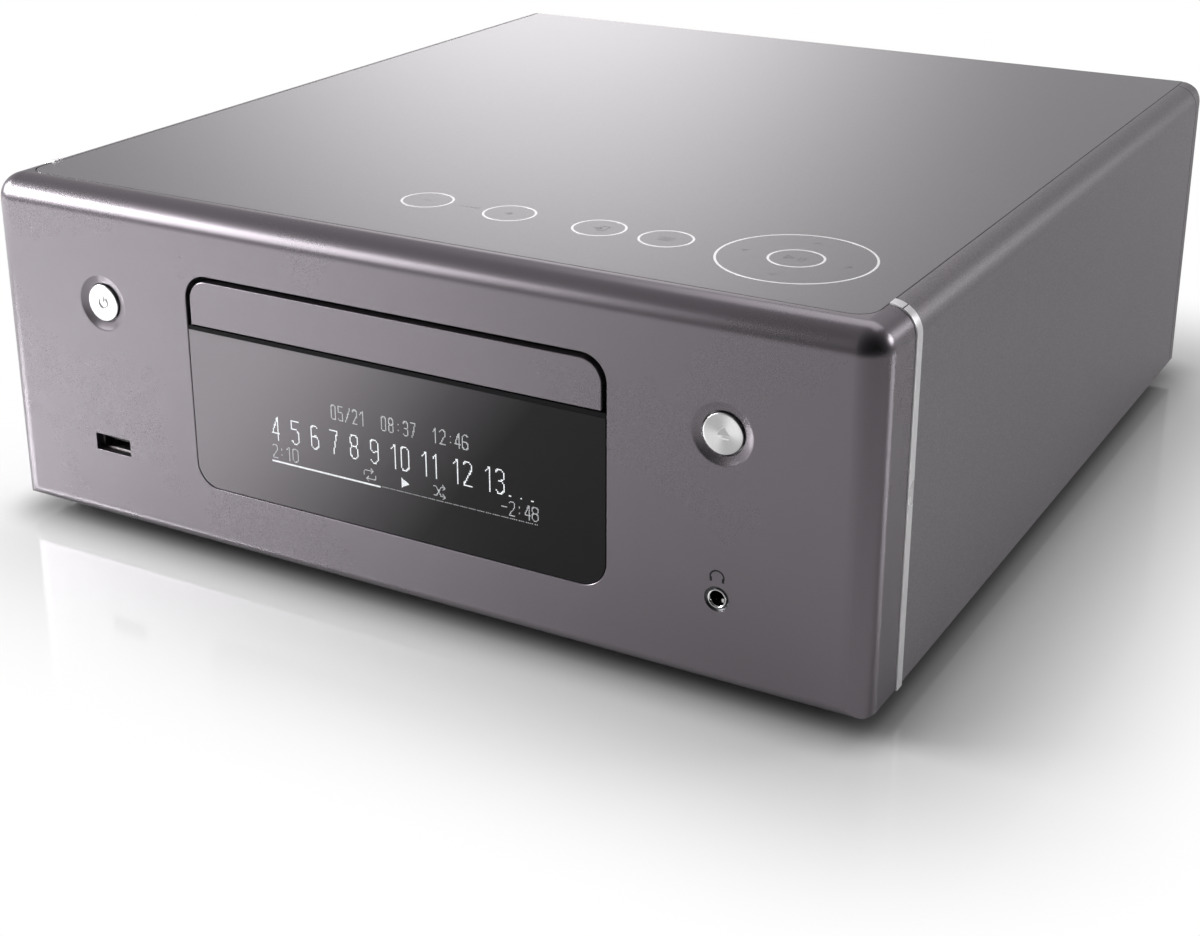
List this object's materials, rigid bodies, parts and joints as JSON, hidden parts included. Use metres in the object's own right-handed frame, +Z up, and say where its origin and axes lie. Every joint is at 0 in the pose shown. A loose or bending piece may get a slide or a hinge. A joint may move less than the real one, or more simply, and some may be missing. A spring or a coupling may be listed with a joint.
{
  "type": "mini hifi system",
  "caption": "Compact desktop disc-playing receiver: metallic front with a slide-out tray, smoked display window and push buttons, glossy touch top, wrap cabinet and rear connectors.",
  "frame": {"origin": "middle of the footprint, on the surface that the feet stand on", "axes": "+X to the right seen from the front, the front faces -Y, +Z up"},
  "size_m": [0.28, 0.305, 0.108],
  "materials": {
    "front_paint": "warm metallic grey, satin",
    "cabinet_paint": "dark grey, fine matte texture",
    "trim_metal": "bright brushed, bevelled edge",
    "plate_gloss": "deep gloss, dark grey",
    "window_smoke": "smoked, gloss",
    "black_moulding": "fine matte",
    "button_metal": "turned",
    "socket_steel": "plain",
    "socket_chrome": "bright",
    "gold_contact": "gold plated",
    "circuit_board": "solder resist",
    "tray_plastic": "fine matte",
    "gear_plastic": "natural acetal",
    "belt_rubber": "plain",
    "foot_rubber": "plain",
    "pan_steel": "zinc plated",
    "rear_paint": "black, fine matte",
    "steel_part": "plain",
    "heatsink_metal": "extruded",
    "transformer_steel": "varnished laminations",
    "ribbon_plastic": "flat flexible strip",
    "red_cap": "plain",
    "black_cap": "plain",
    "display_glass": "dark display"
  },
  "bodies": {
    "root": {"ac_inlet": "black_moulding", "antenna_socket": "socket_chrome", "base_pan": "pan_steel", "button_switches": "circuit_board", "cabinet": "cabinet_paint", "clamp_bridge": "pan_steel", "display_board": "circuit_board", "display_panel": "display_glass", "display_window": "window_smoke", "drive_belt": "belt_rubber", "foot_front_left": "foot_rubber", "foot_front_right": "foot_rubber", "foot_rear_left": "foot_rubber", "foot_rear_right": "foot_rubber", "front_panel": "front_paint", "front_ribbon": "ribbon_plastic", "headphone_jack": "socket_chrome", "heatsink": "heatsink_metal", "line_jacks": "gold_contact", "loader_brackets": "pan_steel", "loader_chassis": "tray_plastic", "loading_motor": "steel_part", "main_board": "circuit_board", "network_socket": "socket_steel", "panel_screws": "steel_part", "power_board": "circuit_board", "rear_bezel": "cabinet_paint", "rear_panel": "rear_paint", "socket_boards": "circuit_board", "terminal_plate": "black_moulding", "terminal_posts": "gold_contact", "top_plate": "plate_gloss", "touch_board": "circuit_board", "transformer": "transformer_steel", "tray_surround": "black_moulding", "trim_band": "trim_metal", "usb_socket": "socket_steel", "usb_tongue": "black_moulding"},
    "tray": {"tray_door": "front_paint", "disc_tray": "tray_plastic"},
    "tray_gear": {"tray_gear": "gear_plastic"},
    "pulley_gear": {"pulley_gear": "gear_plastic"},
    "motor_pulley": {"motor_pulley": "gold_contact"},
    "clamper": {"clamper": "gear_plastic"},
    "traverse": {"traverse_plate": "steel_part", "spindle_motor": "steel_part", "guide_rods": "steel_part", "sled_motor": "steel_part"},
    "turntable": {"turntable": "tray_plastic"},
    "pickup_sled": {"pickup_sled": "tray_plastic"},
    "sled_gear": {"sled_gear": "gear_plastic"},
    "cam_slider": {"cam_slider": "gear_plastic"},
    "power_button": {"power_button": "button_metal"},
    "eject_button": {"eject_button": "button_metal"},
    "terminal_cap_1": {"terminal_cap_1": "red_cap"},
    "terminal_cap_2": {"terminal_cap_2": "red_cap"},
    "terminal_cap_3": {"terminal_cap_3": "black_cap"},
    "terminal_cap_4": {"terminal_cap_4": "black_cap"}
  },
  "joints": [
    {"name": "tray_slide", "type": "slide", "parent": "root", "child": "tray", "axis": [0, -1, 0], "range_m": [0, 0.136]},
    {"name": "tray_gear_spin", "type": "hinge", "parent": "root", "child": "tray_gear", "pos_m": [0.043, -0.124, 0.074], "axis": [0, 0, -1], "range_deg": [0, 779.4]},
    {"name": "pulley_gear_spin", "type": "hinge", "parent": "root", "child": "pulley_gear", "pos_m": [0.02059, -0.13, 0.074], "axis": [0, 0, 1], "range_deg": [0, 1731.8]},
    {"name": "motor_pulley_spin", "type": "hinge", "parent": "root", "child": "motor_pulley", "pos_m": [-0.024, -0.13, 0.0762], "axis": [0, 0, 1], "range_deg": [0, 4762.1]},
    {"name": "clamper_spin", "type": "hinge", "parent": "root", "child": "clamper", "pos_m": [0, -0.079, 0.09], "axis": [0, 0, 1], "continuous": true},
    {"name": "traverse_lift", "type": "hinge", "parent": "root", "child": "traverse", "pos_m": [0, 0.012, 0.07175], "axis": [-1, 0, 0], "range_deg": [0, 6]},
    {"name": "cam_slide", "type": "slide", "parent": "root", "child": "cam_slider", "axis": [1, 0, 0], "range_m": [0, 0.0201]},
    {"name": "spindle_spin", "type": "hinge", "parent": "traverse", "child": "turntable", "pos_m": [0, -0.07942, 0.07094], "axis": [0, -0.1045, 0.9945], "continuous": true},
    {"name": "sled_slide", "type": "slide", "parent": "traverse", "child": "pickup_sled", "axis": [0, 0.9945, 0.1045], "range_m": [0, 0.034]},
    {"name": "sled_gear_spin", "type": "hinge", "parent": "traverse", "child": "sled_gear", "pos_m": [0.0269, -0.02917, 0.07119], "axis": [0, 0.1045, -0.9945], "range_deg": [0, 360.9]},
    {"name": "power_press", "type": "slide", "parent": "root", "child": "power_button", "axis": [0, 1, 0], "range_m": [0, 0.0012], "stiffness_N_per_m": 1200},
    {"name": "eject_press", "type": "slide", "parent": "root", "child": "eject_button", "axis": [0, 1, 0], "range_m": [0, 0.0012], "stiffness_N_per_m": 1200},
    {"name": "terminal_cap_1_turn", "type": "hinge", "parent": "root", "child": "terminal_cap_1", "pos_m": [0.088, 0.145, 0.038], "axis": [0, 1, 0], "range_deg": [0, 720]},
    {"name": "terminal_cap_2_turn", "type": "hinge", "parent": "root", "child": "terminal_cap_2", "pos_m": [0.088, 0.145, 0.058], "axis": [0, 1, 0], "range_deg": [0, 720]},
    {"name": "terminal_cap_3_turn", "type": "hinge", "parent": "root", "child": "terminal_cap_3", "pos_m": [0.107, 0.145, 0.038], "axis": [0, 1, 0], "range_deg": [0, 720]},
    {"name": "terminal_cap_4_turn", "type": "hinge", "parent": "root", "child": "terminal_cap_4", "pos_m": [0.107, 0.145, 0.058], "axis": [0, 1, 0], "range_deg": [0, 720]}
  ],
  "couplings": [
    {"joint": "tray_gear_spin", "follows": "tray_slide", "rad_per_m": 100},
    {"joint": "pulley_gear_spin", "follows": "tray_slide", "rad_per_m": 222.22},
    {"joint": "motor_pulley_spin", "follows": "tray_slide", "rad_per_m": 611.11},
    {"joint": "cam_slide", "follows": "traverse_lift", "m_per_rad": 0.19099},
    {"joint": "sled_gear_spin", "follows": "sled_slide", "rad_per_m": 185.19}
  ]
}
